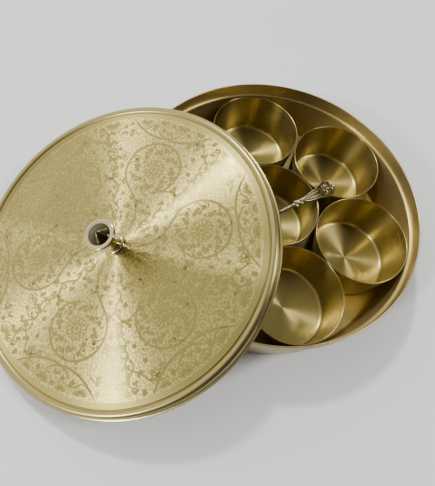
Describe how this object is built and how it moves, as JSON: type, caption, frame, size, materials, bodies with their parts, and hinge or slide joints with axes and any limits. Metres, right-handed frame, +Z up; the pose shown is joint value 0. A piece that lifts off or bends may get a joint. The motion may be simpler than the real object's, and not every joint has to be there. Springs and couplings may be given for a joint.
{
  "type": "masala dabba spice box",
  "caption": "Round brass spice box: a spun pan holding loose bowls and a small spoon, with an etched, knobbed lid that drops onto a ledge in the rim and leans on the pan when open.",
  "frame": {"origin": "centre of the pan's foot, on the table", "axes": "+Z up along the pan's axis; the open lid leans on the rim on the -X side, so +X points away from the lid"},
  "size_m": [0.3295, 0.2224, 0.0839],
  "materials": {
    "pan_brass": "spun brass, satin, dark golden brown inside",
    "bowl_brass": "circular-brushed brass",
    "lid_brass": "pale brass, etched all over with vines and flowers, radially brushed sheen",
    "knob_brass": "polished turned brass",
    "spoon_brass": "pale cast brass with dark hollows",
    "screw_brass": "plain brass"
  },
  "bodies": {
    "pan": {"pan": "pan_brass"},
    "bowl_centre": {"bowl_centre": "bowl_brass"},
    "bowl_1": {"bowl_1": "bowl_brass"},
    "bowl_2": {"bowl_2": "bowl_brass"},
    "bowl_3": {"bowl_3": "bowl_brass"},
    "bowl_4": {"bowl_4": "bowl_brass"},
    "bowl_5": {"bowl_5": "bowl_brass"},
    "bowl_6": {"bowl_6": "bowl_brass"},
    "spoon": {"spoon_bowl": "spoon_brass", "spoon_handle": "spoon_brass"},
    "lid": {"lid": "lid_brass", "knob": "knob_brass", "knob_washer": "screw_brass", "knob_screw": "screw_brass"}
  },
  "joints": [
    {"name": "lid_lift", "type": "slide", "parent": "pan", "child": "lid", "axis": [0, 0, 1], "range_m": [0, 0.12]},
    {"name": "bowl_centre_lift", "type": "slide", "parent": "pan", "child": "bowl_centre", "axis": [0, 0, 1], "range_m": [0, 0.036]},
    {"name": "bowl_1_lift", "type": "slide", "parent": "pan", "child": "bowl_1", "axis": [0, 0, 1], "range_m": [0, 0.07]},
    {"name": "bowl_2_lift", "type": "slide", "parent": "pan", "child": "bowl_2", "axis": [0, 0, 1], "range_m": [0, 0.07]},
    {"name": "bowl_3_lift", "type": "slide", "parent": "pan", "child": "bowl_3", "axis": [0, 0, 1], "range_m": [0, 0.017]},
    {"name": "bowl_4_lift", "type": "slide", "parent": "pan", "child": "bowl_4", "axis": [0, 0, 1], "range_m": [0, 0.012]},
    {"name": "bowl_5_lift", "type": "slide", "parent": "pan", "child": "bowl_5", "axis": [0, 0, 1], "range_m": [0, 0.027]},
    {"name": "bowl_6_lift", "type": "slide", "parent": "pan", "child": "bowl_6", "axis": [0, 0, 1], "range_m": [0, 0.07]},
    {"name": "spoon_lift", "type": "slide", "parent": "bowl_centre", "child": "spoon", "axis": [0, 0, 1], "range_m": [0, 0.055]}
  ]
}
